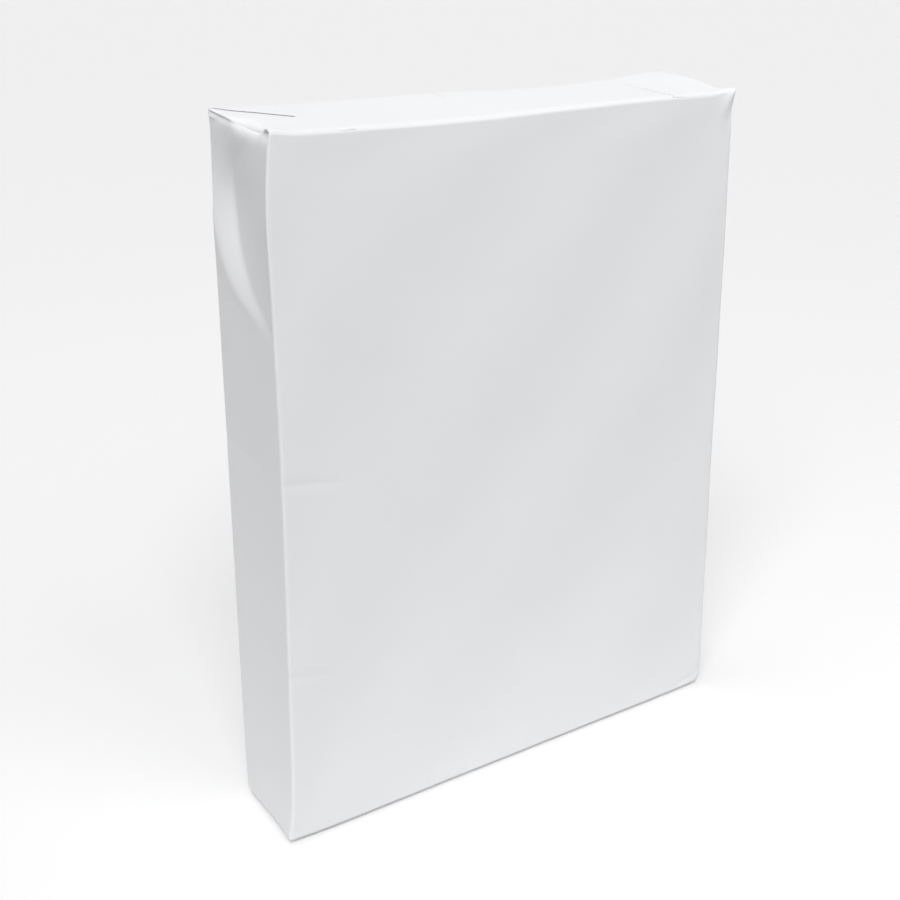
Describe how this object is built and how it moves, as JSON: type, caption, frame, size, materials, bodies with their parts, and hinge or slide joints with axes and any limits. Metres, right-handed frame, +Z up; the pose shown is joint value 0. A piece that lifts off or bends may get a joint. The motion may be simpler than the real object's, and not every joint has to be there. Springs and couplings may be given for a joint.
{
  "type": "ream of paper",
  "caption": "Sealed ream of letter-size copy paper in a plain white glued wrapper, with folded ends, standing on a short end.",
  "frame": {"origin": "middle of the standing face, in the centre of the pack's width and thickness", "axes": "+Z up the length of the sheets, X across the sheets, +Y through the stack towards the back panel with the glued lap; the broad front panel faces -Y"},
  "size_m": [0.2162, 0.0464, 0.2807],
  "materials": {
    "wrapper_paper": "plain white coated wrapping paper, low sheen"
  },
  "bodies": {
    "root": {"wrapped_ream": "wrapper_paper"}
  },
  "joints": []
}
